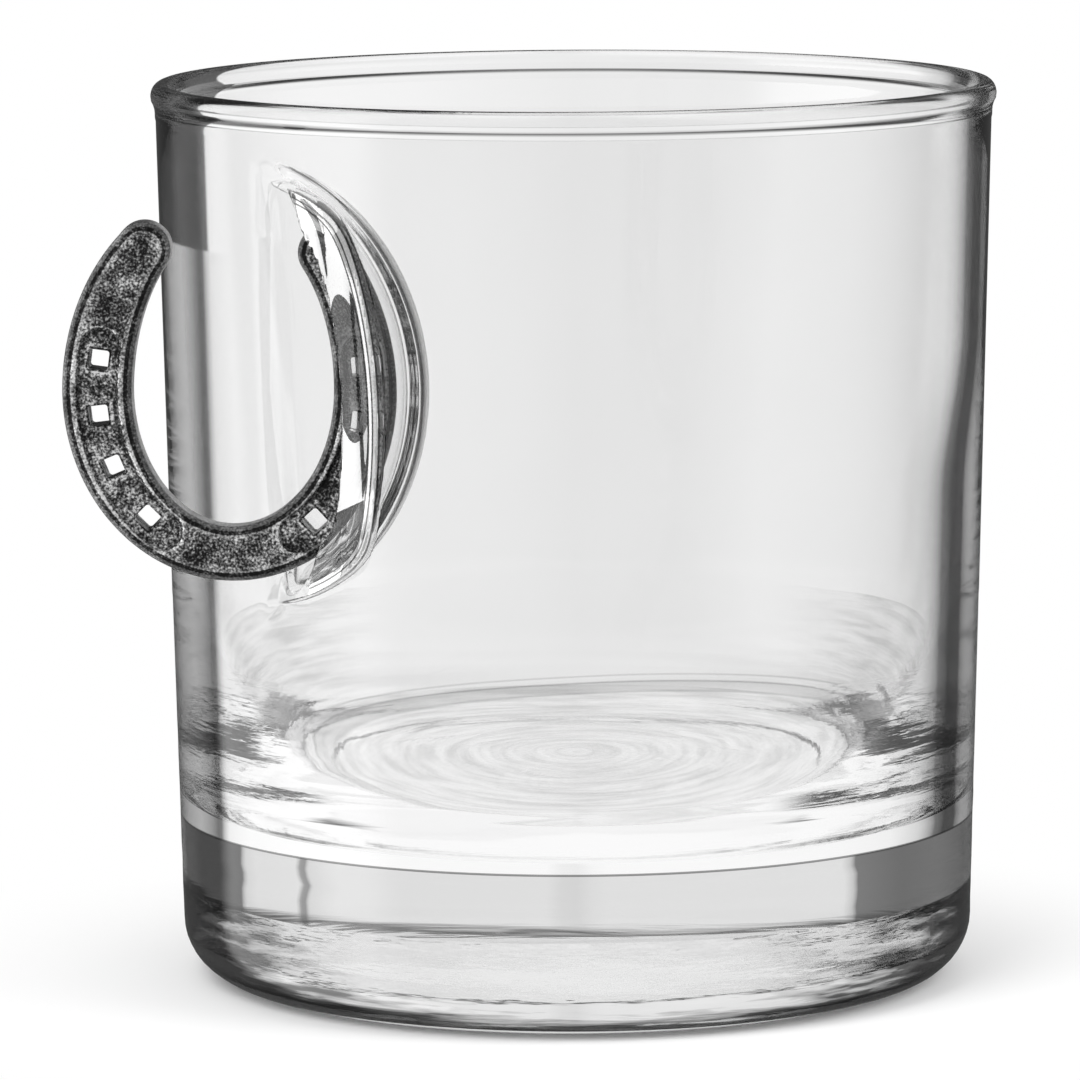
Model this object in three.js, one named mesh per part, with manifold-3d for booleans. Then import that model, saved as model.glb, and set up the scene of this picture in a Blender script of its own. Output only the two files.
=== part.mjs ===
// Heavy-based rocks glass with a small metal horseshoe bonded into a pocket in its wall.
// Millimetres, +Z up. The origin is the centre of the flat underside, on the glass axis.
// The horseshoe stands upright, parallel to the XZ plane, with its face towards -Y.
import * as THREE from 'three';
import { mergeVertices } from 'three/addons/utils/BufferGeometryUtils.js';
import Module from 'manifold-3d';

// Tumbler
const glassHeight = 89;
const wallTopRadius = 41.3;
const wallFootRadius = 39.35;
const heelRadius = 5.8;
const beadHeight = 2.6;
const beadThickness = 2.2;
const beadProud = 0.4;
const beadFromAngle = -50;
const beadToAngle = 230;
const neckDrop = 5.2;
const rimThickness = 1.6;
const waistHeight = 45;
const waistThickness = 2.6;
const floorHeight = 15.8;
const floorFlatRadius = 23;
const waistPull = 14;
const floorPull = 10.6;

// Horseshoe: half-ellipses below and above its widest level, where its middle stands proud of the
// wall by shoeReach, swung from the front towards -X
const shoeSwing = 44.14;
const shoeReach = 4.275;
const shoeWidestZ = 62;
const shoeThickness = 3.7;
const shoeLean = 1.2;
const branchOuterHalf = 16.26;
const branchWidth = 6.66;
const toeDrop = 18.25;
const toeWidth = 5.25;
const outerRise = 19.8;
const innerRise = 16;
const tipAngle = 48;
const edgeBevel = 0.5;
const fullerWidth = 3.9;
const fullerDepth = 0.45;
const fullerTopAngle = 12.3;
const fullerToeAngle = -59.5;
const nailAngles = [8.7, -9.6, -28.7, -52];
const nailWidth = 1.9;

// Pocket pressed into the wall for the set-in branch
const faceClearance = 0.35;
const endClearance = 1.14;
const pocketRise = 20.8;
const pocketEndWall = 1.5;
const pocketBackWall = 1.8;
const mouthShift = 2;
const mouthHalfWidth = 8.5;
const mouthHalfHeight = 20.5;
const mouthFlare = 1.2;
const mouthDepth = 5;
const bondGap = 0.3;

// Facets
const glassSides = 72;
const ovalSides = 64;
const curveSteps = 7;

const degrees = Math.PI / 180;
const innerHalf = branchOuterHalf - branchWidth;
const archDrop = toeDrop - toeWidth;
const shoeAxisDistance = wallRadius(shoeWidestZ) + shoeReach;
const shoeCentreX = -shoeAxisDistance * Math.sin(shoeSwing * degrees);
const shoeFaceY = -shoeAxisDistance * Math.cos(shoeSwing * degrees) - shoeThickness / 2;
const shoeBackY = shoeFaceY + shoeThickness;
const pocketFrontY = shoeFaceY - faceClearance;
const pocketBackY = shoeBackY + faceClearance;
const pocketHalf = branchOuterHalf + endClearance;

const wasm = await Module();
wasm.setup();

function toSolid(geometry) {
  const bare = geometry.clone();
  bare.deleteAttribute('normal');
  bare.deleteAttribute('uv');
  const merged = mergeVertices(bare, 1e-4);
  const index = merged.index.array;
  const triangles = [];
  for (let i = 0; i < index.length; i += 3) {
    const [a, b, c] = [index[i], index[i + 1], index[i + 2]];
    if (a !== b && b !== c && c !== a) triangles.push(a, b, c);
  }
  const mesh = new wasm.Mesh({
    numProp: 3,
    vertProperties: new Float32Array(merged.attributes.position.array),
    triVerts: new Uint32Array(triangles),
  });
  return new wasm.Manifold(mesh);
}

function toGeometry(solid) {
  const mesh = solid.getMesh();
  const geometry = new THREE.BufferGeometry();
  geometry.setAttribute('position', new THREE.BufferAttribute(new Float32Array(mesh.vertProperties), 3));
  geometry.setIndex(new THREE.BufferAttribute(new Uint32Array(mesh.triVerts), 1));
  geometry.computeVertexNormals();
  return geometry;
}

// A profile of [radius, height] pairs, turned about the glass axis.
function turned(profile) {
  const points = profile.map(([r, z]) => new THREE.Vector2(r, z));
  return new THREE.LatheGeometry(points, glassSides).rotateX(Math.PI / 2);
}

function wallRadius(z) {
  return wallFootRadius + (wallTopRadius - wallFootRadius) * (z - heelRadius) / (glassHeight - heelRadius);
}

function tumblerProfile() {
  const profile = [[0, 0]];
  for (let i = 0; i <= curveSteps; i++) {
    const turn = (i / curveSteps) * 90 * degrees;
    const r = wallFootRadius - heelRadius * (1 - Math.sin(turn));
    profile.push([r, heelRadius * (1 - Math.cos(turn))]);
  }
  const beadZ = glassHeight - beadHeight / 2;
  const beadR = wallTopRadius + beadProud - beadThickness / 2;
  for (let i = 0; i <= 2 * curveSteps; i++) {
    const turn = (beadFromAngle + (i / (2 * curveSteps)) * (beadToAngle - beadFromAngle)) * degrees;
    profile.push([
      beadR + (beadThickness / 2) * Math.cos(turn),
      beadZ + (beadHeight / 2) * Math.sin(turn),
    ]);
  }
  const neckZ = glassHeight - neckDrop;
  const neck = new THREE.Vector2(wallRadius(neckZ) - rimThickness, neckZ);
  const waist = new THREE.Vector2(wallRadius(waistHeight) - waistThickness, waistHeight);
  const slope = waist.clone().sub(neck).normalize();
  const curve = new THREE.CubicBezierCurve(
    waist,
    waist.clone().addScaledVector(slope, waistPull),
    new THREE.Vector2(floorFlatRadius + floorPull, floorHeight),
    new THREE.Vector2(floorFlatRadius, floorHeight),
  );
  profile.push([neck.x, neck.y]);
  for (const p of curve.getPoints(2 * curveSteps)) profile.push([p.x, p.y]);
  profile.push([0, floorHeight]);
  return profile;
}

// Moves a shape drawn in the shoe's own plane (right, up, forward) to its place on the glass.
function setInShoePlane(geometry, backY) {
  return geometry.rotateZ(-shoeLean * degrees).rotateX(Math.PI / 2).translate(shoeCentreX, backY, shoeWidestZ);
}

// An upright oval plate, or a flared one, between two depths.
function oval(halfWidth, halfHeight, flare, backY, frontY, shift) {
  const depth = backY - frontY;
  const plate = new THREE.CylinderGeometry(1 + flare / halfWidth, 1, depth, ovalSides);
  plate.rotateX(Math.PI / 2).scale(halfWidth, halfHeight, 1).translate(shift, 0, depth / 2);
  return toSolid(setInShoePlane(plate, backY));
}

function branchPoint(side, half, drop, rise, angle) {
  const turn = angle * degrees;
  const reach = angle < 0 ? drop : rise;
  return new THREE.Vector2(side * half * Math.cos(turn), reach * Math.sin(turn));
}

function sideOutline(side, grow) {
  const points = [];
  for (let i = 0; i <= 2 * curveSteps; i++) {
    const angle = -90 + (i / (2 * curveSteps)) * (90 + tipAngle);
    points.push(branchPoint(side, branchOuterHalf + grow, toeDrop + grow, outerRise + grow, angle));
  }
  return points;
}

function tipCap(side, grow) {
  const outer = branchPoint(side, branchOuterHalf, toeDrop, outerRise, tipAngle);
  const inner = branchPoint(side, innerHalf, archDrop, innerRise, tipAngle);
  const middle = outer.clone().add(inner).multiplyScalar(0.5);
  const arm = outer.clone().sub(middle);
  arm.setLength(arm.length() + grow);
  const points = [];
  for (let i = 1; i < curveSteps; i++) {
    const turn = side * (i / curveSteps) * Math.PI;
    points.push(arm.clone().rotateAround(new THREE.Vector2(), turn).add(middle));
  }
  return points;
}

function shoeOutline() {
  const half = (side) => {
    const points = [...sideOutline(side, 0), ...tipCap(side, 0)];
    for (let i = 0; i <= 2 * curveSteps; i++) {
      const angle = tipAngle - (i / (2 * curveSteps)) * (90 + tipAngle);
      points.push(branchPoint(side, innerHalf, archDrop, innerRise, angle));
    }
    return points;
  };
  const right = half(1);
  const left = half(-1).slice(1, -1).reverse();
  return new THREE.Shape([...right, ...left]);
}

function nailPoint(side, angle) {
  const drop = (toeDrop + archDrop) / 2;
  return branchPoint(side, (branchOuterHalf + innerHalf) / 2, drop, (outerRise + innerRise) / 2, angle);
}

function nailDirection(side, angle) {
  const step = 0.5;
  return nailPoint(side, angle + step).sub(nailPoint(side, angle - step)).angle();
}

function fullerShape(side) {
  const points = [];
  const addEnd = (angle, from) => {
    const centre = nailPoint(side, angle);
    const heading = nailDirection(side, angle);
    for (let i = 0; i <= curveSteps; i++) {
      const turn = heading + from + (i / curveSteps) * Math.PI;
      const arm = new THREE.Vector2(Math.cos(turn), Math.sin(turn));
      points.push(centre.clone().addScaledVector(arm, fullerWidth / 2));
    }
  };
  const addSide = (from, to, turn) => {
    for (let i = 1; i < curveSteps; i++) {
      const angle = from + (i / curveSteps) * (to - from);
      const heading = nailDirection(side, angle) + turn;
      const arm = new THREE.Vector2(Math.cos(heading), Math.sin(heading));
      points.push(nailPoint(side, angle).addScaledVector(arm, fullerWidth / 2));
    }
  };
  addEnd(fullerTopAngle, -Math.PI / 2);
  addSide(fullerTopAngle, fullerToeAngle, Math.PI / 2);
  addEnd(fullerToeAngle, Math.PI / 2);
  addSide(fullerToeAngle, fullerTopAngle, -Math.PI / 2);
  return new THREE.Shape(points);
}

function shoeSolid() {
  const plate = new THREE.ExtrudeGeometry(shoeOutline(), {
    depth: shoeThickness - 2 * edgeBevel,
    bevelThickness: edgeBevel,
    bevelSize: edgeBevel,
    bevelOffset: -edgeBevel,
    bevelSegments: 1,
  }).translate(0, 0, edgeBevel);
  let solid = toSolid(plate);
  for (const side of [1, -1]) {
    const fuller = new THREE.ExtrudeGeometry(fullerShape(side), {
      depth: shoeThickness,
      bevelEnabled: false,
    }).translate(0, 0, shoeThickness - fullerDepth);
    solid = solid.subtract(toSolid(fuller));
    for (const angle of nailAngles) {
      const nail = new THREE.BoxGeometry(nailWidth, nailWidth, 3 * shoeThickness);
      const place = nailPoint(side, angle);
      nail.rotateZ(nailDirection(side, angle)).translate(place.x, place.y, 0);
      solid = solid.subtract(toSolid(nail));
    }
  }
  return toGeometry(solid);
}

// The pocket is an oval slot for the branch, with a flared mouth in front of the shoe's face.
// The wall bulges inwards round the slot, so that it keeps its thickness there.
function glassSolid() {
  const shell = toSolid(turned(tumblerProfile()));
  const limit = new THREE.CylinderGeometry(
    wallTopRadius - rimThickness / 2,
    wallFootRadius - rimThickness / 2,
    glassHeight - heelRadius,
    glassSides,
  ).rotateX(Math.PI / 2).translate(0, 0, (glassHeight + heelRadius) / 2);
  const bulge = oval(
    pocketHalf + pocketEndWall,
    pocketRise + pocketEndWall,
    0,
    pocketBackY + pocketBackWall,
    pocketFrontY - pocketBackWall,
    0,
  ).intersect(toSolid(limit));
  const slot = oval(pocketHalf, pocketRise, 0, pocketBackY, pocketFrontY, 0);
  const mouth = oval(
    mouthHalfWidth,
    mouthHalfHeight,
    mouthFlare * mouthDepth,
    shoeFaceY,
    shoeFaceY - mouthDepth,
    mouthShift,
  );
  return toGeometry(shell.add(bulge).subtract(slot).subtract(mouth));
}

// The bond fills the crescent between the shoe's outer edge and the slot's end wall.
function bondSolid() {
  const filling = oval(
    pocketHalf - bondGap,
    pocketRise - bondGap,
    0,
    pocketBackY - bondGap,
    pocketFrontY + bondGap,
    0,
  );
  const right = [...sideOutline(1, bondGap), ...tipCap(1, bondGap)];
  const left = [...sideOutline(-1, bondGap).slice(1), ...tipCap(-1, bondGap)].reverse();
  const core = new THREE.ExtrudeGeometry(new THREE.Shape([...right, ...left]), {
    depth: 3 * shoeThickness,
    bevelEnabled: false,
  }).translate(0, 0, -shoeThickness);
  const limit = new THREE.CylinderGeometry(
    wallTopRadius - bondGap,
    wallFootRadius - bondGap,
    glassHeight - heelRadius,
    glassSides,
  ).rotateX(Math.PI / 2).translate(0, 0, (glassHeight + heelRadius) / 2);
  const rest = filling.subtract(toSolid(setInShoePlane(core, shoeBackY)));
  return toGeometry(rest.intersect(toSolid(limit)));
}

function piece(name, geometry, look) {
  const mesh = new THREE.Mesh(geometry, new THREE.MeshStandardMaterial(look));
  mesh.name = name;
  return mesh;
}

const rocksGlass = new THREE.Group();

rocksGlass.add(piece('glass_tumbler', glassSolid(), {
  color: '#eef1f0',
  roughness: 0.02,
  metalness: 0,
  transparent: true,
  opacity: 0.35,
}));

rocksGlass.add(piece('horseshoe', setInShoePlane(shoeSolid(), shoeBackY), {
  color: '#6b6b6a',
  roughness: 0.42,
  metalness: 0.9,
}));

rocksGlass.add(piece('clear_adhesive', bondSolid(), {
  color: '#f2f4f3',
  roughness: 0.08,
  metalness: 0,
  transparent: true,
  opacity: 0.4,
}));

export default rocksGlass;
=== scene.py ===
import math
from functools import partial

import bpy
import numpy as np
from mathutils import Matrix, Vector


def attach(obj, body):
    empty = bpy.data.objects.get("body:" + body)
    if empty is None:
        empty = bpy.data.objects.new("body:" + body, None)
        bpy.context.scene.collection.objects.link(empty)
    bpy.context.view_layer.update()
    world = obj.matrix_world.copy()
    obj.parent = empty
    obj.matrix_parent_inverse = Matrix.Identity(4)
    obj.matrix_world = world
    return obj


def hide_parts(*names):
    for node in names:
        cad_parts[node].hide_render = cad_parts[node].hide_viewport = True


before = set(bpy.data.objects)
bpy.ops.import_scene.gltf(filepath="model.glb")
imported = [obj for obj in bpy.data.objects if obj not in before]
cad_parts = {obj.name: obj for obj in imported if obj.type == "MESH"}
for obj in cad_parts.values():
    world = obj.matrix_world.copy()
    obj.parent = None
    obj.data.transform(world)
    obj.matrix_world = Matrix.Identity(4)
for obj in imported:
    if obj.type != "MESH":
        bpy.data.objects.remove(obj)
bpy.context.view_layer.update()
mm = 0.001

# Sizes are in millimetres and degrees, as in the part's source.
tumbler = {
    "height": 89.0,
    "wallTop": 41.3,
    "wallFoot": 39.35,
    "heel": 5.8,
    "beadHeight": 2.6,
    "beadThickness": 2.2,
    "beadProud": 0.4,
    "beadFrom": -50.0,
    "beadTo": 230.0,
    "beadFillet": 0.7,
    "beadTrim": 6,
    "neckDrop": 5.2,
    "neckRound": 1.2,
    "rimThickness": 1.6,
    "waistHeight": 45.0,
    "waistThickness": 2.6,
    "waistPull": 14.0,
    "floorHeight": 15.8,
    "floorFlat": 23.0,
    "floorPull": 10.6,
    "columns": 180,
    "levels": 13,
    "rowStep": 0.8,
    "rowGap": 0.5,
    "rimStep": 0.25,
    "ringRadius": 32.0,
    "ringDepth": 0.25,
    "ringEase": 1.6,
    "ringRipple": 0.6,
    "footLift": 0.05,
    "rippleDepth": 0.013,
    "rippleLengths": (2.3, 3.1, 4.3, 6.1),
    "rippleTop": 30.0,
    "rippleFade": 12.0,
    "rippleCore": 10.0,
}

shoe = {
    "swing": 44.14,
    "reach": 4.275,
    "widestZ": 62.0,
    "thickness": 3.7,
    "lean": 1.2,
    "outerHalf": 16.26,
    "branchWidth": 6.66,
    "toeDrop": 18.25,
    "toeWidth": 5.25,
    "outerRise": 19.8,
    "innerRise": 16.0,
    "tipAngle": 48.0,
    "bevelWidth": 0.8,
    "bevelDepth": 0.45,
    "edgeRound": 0.35,
    "faceRound": 0.3,
    "grooveInset": 0.66,
    "grooveWidth": 0.22,
    "grooveDepth": 0.13,
    "fullerWidth": 3.9,
    "fullerDepth": 0.45,
    "fullerStart": 0.25,
    "fullerEase": 0.6,
    "fullerRim": 0.1,
    "fullerRimWidth": 0.3,
    "fullerTop": 12.3,
    "fullerToe": -59.5,
    "nailAngles": (8.7, -9.6, -28.7, -52.0),
    "nailWidth": 1.9,
    "nailCorner": 0.28,
    "nailFlare": 0.16,
    "flareFrom": 0.84,
    "pinReach": 0.9,
    "weld": 0.03,
    "sharpAngle": 50.0,
    "setInDepth": 2.2,
    "setInEase": 1.5,
    "margin": 0.7,
    "grid": 0.2,
}

pocket = {
    "faceClearance": 0.35,
    "endClearance": 1.14,
    "rise": 20.8,
    "slotRound": 3.9,
    "mouthRise": 19.6,
    "mouthDrop": 0.5,
    "mouthBlend": 0.4,
    "endWall": 0.9,
    "backWall": 1.8,
    "backBlend": 0.5,
    "bulgeRound": 2.4,
    "bulgeBlend": 1.4,
    "lipShift": (2.0, -4.0),
    "lipHalfWidth": 11.1,
    "lipHalfHeight": 26.0,
    "lipBlend": 1.5,
    "lipCover": 2.2,
    "coverBlend": 0.5,
    "lipRaise": 0.9,
    "lipRaiseMost": 2.2,
    "lipReach": 5.2,
    "lipReachEase": 2.0,
    "lipTop": 0.9,
    "lipFall": 0.7,
    "lipRound": 0.3,
    "farLipRound": 3.0,
    "frontFrom": -15.0,
    "fadeStart": 3.0,
    "fadeLeast": 1.5,
    "fadeLean": 8.0,
    "fadeRun": 4.5,
    "stripWidth": 2.7,
    "stripDepth": 0.6,
    "stripGap": 0.1,
    "stripBlend": 0.4,
    "runOut": 3.5,
    "runOutFrom": 1.5,
    "runOutEase": 3.0,
    "markFrom": 2.0,
    "markDepth": 3.2,
    "markGap": 0.05,
    "flankLeast": 0.1,
    "patchFrom": 13.0,
    "patchTo": 52.0,
    "patchLow": 38.3,
    "patchHigh": 85.4,
    "outerCell": 0.22,
    "innerCell": 0.4,
    "proudest": 2.7,
    "deepest": 9.6,
}


def wallRadius(z):
    rise = (z - tumbler["heel"]) / (tumbler["height"] - tumbler["heel"])
    return tumbler["wallFoot"] + (tumbler["wallTop"] - tumbler["wallFoot"]) * rise


lean = math.radians(shoe["lean"])
axisDistance = wallRadius(shoe["widestZ"]) + shoe["reach"]
shoeX = -axisDistance * math.sin(math.radians(shoe["swing"]))
shoeFaceY = -axisDistance * math.cos(math.radians(shoe["swing"])) - shoe["thickness"] / 2
slotHalf = shoe["outerHalf"] + pocket["endClearance"]
slotFront = pocket["faceClearance"]
slotBack = -shoe["thickness"] - pocket["faceClearance"]


# Mesh helpers

def newBag():
    return {"points": [], "normals": [], "faces": [], "count": 0}


def addPoints(bag, points, normals):
    first = bag["count"]
    bag["points"].append(points)
    bag["normals"].append(normals)
    bag["count"] += len(points)
    return np.arange(first, bag["count"])


def zipRows(bag, low, lowAt, high, highAt):
    # joins two rows of points that run the same way; faces look to the left of low, seen along +high
    i, j = 0, 0
    while i < len(low) - 1 or j < len(high) - 1:
        nextLow = lowAt[i + 1] if i < len(low) - 1 else math.inf
        nextHigh = highAt[j + 1] if j < len(high) - 1 else math.inf
        if abs(nextLow - nextHigh) < 1e-6:
            bag["faces"].append((low[i], low[i + 1], high[j + 1], high[j]))
            i, j = i + 1, j + 1
        elif nextLow < nextHigh:
            bag["faces"].append((low[i], low[i + 1], high[j]))
            i += 1
        else:
            bag["faces"].append((low[i], high[j + 1], high[j]))
            j += 1


def faceEdges(face):
    return [(min(a, b), max(a, b)) for a, b in zip(face, face[1:] + face[:1])]


def crowdedEdges(faces):
    pairs = np.array([edge for face in faces for edge in faceEdges(face)])
    edges, uses = np.unique(pairs, axis=0, return_counts=True)
    return [tuple(edge) for edge in edges[uses > 2].tolist()]


def partSheets(bag):
    # two sheets that touch along an edge get corners of their own, so that every edge has two faces
    faces = bag["faces"]
    crowded = crowdedEdges(faces)
    while crowded:
        ends = [v for edge in crowded for v in edge]
        corner = min((v for v in ends if ends.count(v) == 1), default=None)
        if corner is None:
            break
        around = {n: set(faceEdges(face)) - set(crowded) for n, face in enumerate(faces) if corner in face}
        chain = [min(around)]
        for n in chain:
            mine = {edge for edge in around[n] if corner in edge}
            chain += [m for m in around if m not in chain and mine & around[m]]
        points, normals = np.concatenate(bag["points"]), np.concatenate(bag["normals"])
        copy = int(addPoints(bag, points[[corner]], normals[[corner]])[0])
        for n in chain:
            faces[n] = tuple(copy if v == corner else v for v in faces[n])
        crowded = [edge for edge in crowded if corner not in edge]


def linkObject(name, data):
    made = bpy.data.objects.new(name, data)
    bpy.context.scene.collection.objects.link(made)
    return made


def smoothFaces(mesh):
    mesh.polygons.foreach_set("use_smooth", np.ones(len(mesh.polygons), bool))


def bagToObject(bag, name, useNormals):
    bag["faces"] = [tuple(int(v) for v in face) for face in bag["faces"]]
    if useNormals:
        partSheets(bag)
    points = np.concatenate(bag["points"]) * mm
    mesh = bpy.data.meshes.new(name)
    mesh.from_pydata(points.tolist(), [], bag["faces"])
    mesh.update()
    smoothFaces(mesh)
    if useNormals:
        normals = np.concatenate(bag["normals"])
        mesh.normals_split_custom_set_from_vertices(normals.tolist())
    return linkObject(name, mesh)


def storeMarks(made, marks):
    for name, values in marks.items():
        mark = made.data.attributes.new(name, "FLOAT", "POINT")
        mark.data.foreach_set("value", values.astype(np.float32))


def softMax(a, b, k):
    h = np.maximum(k - np.abs(a - b), 0) / k
    return np.maximum(a, b) + h * h * h * k / 6


def softMin(a, b, k):
    return -softMax(-a, -b, k)


def smoothStep(value, start, span):
    ease = np.clip((value - start) / span, 0, 1)
    return ease * ease * (3 - 2 * ease)


def surfaceNet(field, axes, toSpace):
    # the zero surface of a field on a box of cells: one point in each crossed cell, one face across each crossed edge
    grid = np.meshgrid(*axes, indexing="ij")
    value = field(toSpace(*grid))
    inside = value < 0
    cells = tuple(n - 1 for n in value.shape)
    total = np.zeros(cells + (3,))
    count = np.zeros(cells, int)
    crossed = []
    for axis in range(3):
        a = np.take(value, range(0, value.shape[axis] - 1), axis)
        b = np.take(value, range(1, value.shape[axis]), axis)
        cross = (a < 0) != (b < 0)
        crossed.append(cross)
        share = np.where(cross, a / np.where(cross, a - b, 1), 0)
        place = np.stack(np.meshgrid(*[np.arange(n) for n in a.shape], indexing="ij"), -1).astype(float)
        place[..., axis] += share
        place *= cross[..., None]
        p, q = [n for n in range(3) if n != axis]
        for dp in (0, 1):
            for dq in (0, 1):
                pick = [slice(None)] * 3
                pick[p] = slice(dp, cells[p] + dp)
                pick[q] = slice(dq, cells[q] + dq)
                total += place[tuple(pick)]
                count += cross[tuple(pick)]
    used = count > 0
    number = np.full(cells, -1)
    number[used] = np.arange(used.sum())
    spot = total[used] / count[used][:, None]
    coords = [axes[n][0] + spot[:, n] * (axes[n][1] - axes[n][0]) for n in range(3)]
    faces = []
    for axis in range(3):
        p, q = (axis + 1) % 3, (axis + 2) % 3
        pick = [slice(None)] * 3
        pick[p] = slice(1, cells[p])
        pick[q] = slice(1, cells[q])
        at = np.argwhere(crossed[axis][tuple(pick)])
        at[:, p] += 1
        at[:, q] += 1
        corners = []
        for dp, dq in ((-1, -1), (0, -1), (0, 0), (-1, 0)):
            c = at.copy()
            c[:, p] += dp
            c[:, q] += dq
            corners.append(number[tuple(c.T)])
        quad = np.stack(corners, -1)
        startsInside = inside[tuple(at.T)]
        quad[~startsInside] = quad[~startsInside][:, ::-1]
        faces.append(quad)
    return toSpace(*coords), np.concatenate(faces), number


def gradient(field, points, step=0.02):
    out = np.empty_like(points)
    for axis in range(3):
        shift = np.zeros(3)
        shift[axis] = step
        out[..., axis] = (field(points + shift) - field(points - shift)) / (2 * step)
    return out


def settle(field, points, rounds=4, longest=0.2, flattest=0.05):
    # slides points onto the zero surface and gives the surface's own normals
    for _ in range(rounds):
        slope = gradient(field, points)
        steep = (slope ** 2).sum(-1, keepdims=True)
        move = field(points)[..., None] * slope / np.maximum(steep, flattest)
        points = points - np.clip(move, -longest, longest)
    slope = gradient(field, points)
    return points, slope / np.linalg.norm(slope, axis=-1, keepdims=True)


# Tumbler profile

def arcPoints(centre, radius, start, stop, steps):
    turn = np.radians(np.linspace(start, stop, steps))
    return np.stack([centre[0] + radius[0] * np.cos(turn), centre[1] + radius[1] * np.sin(turn)], -1)


def roundedCorner(before, corner, after, size, steps=9):
    def towards(target):
        arm = np.asarray(target, float) - corner
        return corner + arm / np.linalg.norm(arm) * size
    a, b = towards(before), towards(after)
    t = np.linspace(0, 1, steps)[:, None]
    return (1 - t) ** 2 * a + 2 * t * (1 - t) * np.asarray(corner) + t ** 2 * b


def tumblerProfile():
    t = tumbler
    beadCentre = (t["wallTop"] + t["beadProud"] - t["beadThickness"] / 2, t["height"] - t["beadHeight"] / 2)
    bead = arcPoints(beadCentre, (t["beadThickness"] / 2, t["beadHeight"] / 2), t["beadFrom"], t["beadTo"], 61)
    heel = arcPoints((t["wallFoot"] - t["heel"], t["heel"]), (t["heel"], t["heel"]), -90, 0, 19)
    neckZ = t["height"] - t["neckDrop"]
    neck = np.array([wallRadius(neckZ) - t["rimThickness"], neckZ])
    waist = np.array([wallRadius(t["waistHeight"]) - t["waistThickness"], t["waistHeight"]])
    slope = (waist - neck) / np.linalg.norm(waist - neck)
    u = np.linspace(0, 1, 49)[:, None]
    hand = waist + slope * t["waistPull"]
    flat = np.array([t["floorFlat"], t["floorHeight"]])
    reach = flat + np.array([t["floorPull"], 0])
    bowl = (1 - u) ** 3 * waist + 3 * u * (1 - u) ** 2 * hand + 3 * u * u * (1 - u) * reach + u ** 3 * flat
    trim = t["beadTrim"]
    under = roundedCorner(heel[-1], bead[0], bead[trim], t["beadFillet"])
    inner = roundedCorner(bead[-trim - 1], bead[-1], neck, t["beadFillet"])
    outside = np.concatenate([[[0, 0]], heel, under, bead[trim:-trim], inner])
    bend = roundedCorner(inner[-1], neck, waist, t["neckRound"])
    return np.concatenate([outside, bend, bowl, [[0, t["floorHeight"]]]])


def resample(profile, spacing):
    length = np.concatenate([[0], np.cumsum(np.linalg.norm(np.diff(profile, axis=0), axis=1))])
    at = np.linspace(0, length[-1], int(length[-1] / spacing) + 1)
    return np.stack([np.interp(at, length, profile[:, n]) for n in range(2)], -1)


fineLine = resample(tumblerProfile(), 0.02)
topIndex = int(np.argmax(fineLine[:, 1]))
innerLine = fineLine[topIndex:]
innerLine = innerLine[innerLine[:, 0] > tumbler["floorFlat"]][::-1]


def innerRadius(z):
    return np.interp(z, innerLine[:, 1], innerLine[:, 0])


# Pocket fields, in millimetres: below zero is inside the named thing

def shoePlane(points):
    x = points[..., 0] - shoeX
    z = points[..., 2] - shoe["widestZ"]
    right = x * math.cos(lean) - z * math.sin(lean)
    up = x * math.sin(lean) + z * math.cos(lean)
    return right, up, shoeFaceY - points[..., 1]


def fromShoePlane(right, up, forward):
    x = right * math.cos(lean) + up * math.sin(lean)
    z = up * math.cos(lean) - right * math.sin(lean)
    return np.stack([shoeX + x, shoeFaceY - forward, shoe["widestZ"] + z], -1)


def ovalField(right, up, halfWidth, halfHeight):
    q = np.sqrt((right / halfWidth) ** 2 + (up / halfHeight) ** 2) + 1e-6
    g = np.sqrt((right / halfWidth ** 2) ** 2 + (up / halfHeight ** 2) ** 2) / q
    return (q - 1) / np.maximum(g, 0.02)


def slotField(right, up, forward):
    middle = (slotFront + slotBack) / 2
    across = np.abs(forward - middle) - (slotFront - slotBack) / 2
    return softMax(ovalField(right, up, slotHalf, pocket["rise"]), across, pocket["slotRound"])


def lipField(right, up):
    # the pocket's opening on the wall: the slot's oval, a little shorter, cut off by the lip of the mouth
    shift = pocket["lipShift"]
    lip = ovalField(right - shift[0], up - shift[1], pocket["lipHalfWidth"], pocket["lipHalfHeight"])
    mouth = ovalField(right, up + pocket["mouthDrop"], slotHalf, pocket["mouthRise"])
    return softMax(mouth, lip, pocket["lipBlend"])


def lipFade(right, up):
    # the lip runs out to the left
    start = np.clip(pocket["fadeStart"] - up / pocket["fadeLean"], pocket["fadeLeast"], pocket["fadeStart"])
    return smoothStep(right, start, pocket["fadeRun"])


def wallForward(points):
    return shoeFaceY + np.sqrt(np.maximum(wallRadius(points[..., 2]) ** 2 - points[..., 0] ** 2, 1))


def lipRise(points, right, up, forward):
    # how far the lip stands out of the wall: enough to cover the shoe's face
    cover = slotFront + pocket["lipCover"] - wallForward(points)
    rise = softMax(np.full_like(right, pocket["lipRaise"]), cover, pocket["coverBlend"])
    near = smoothStep(lipField(right, up), -pocket["lipReach"], pocket["lipReachEase"])
    near = near * (forward > pocket["frontFrom"])
    return np.minimum(rise, pocket["lipRaiseMost"]) * lipFade(right, up) * near


def lipBand(points, right, up, forward):
    away = smoothStep(lipField(right, up), pocket["lipTop"], pocket["lipFall"])
    return lipRise(points, right, up, forward) * (1 - away)


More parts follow.
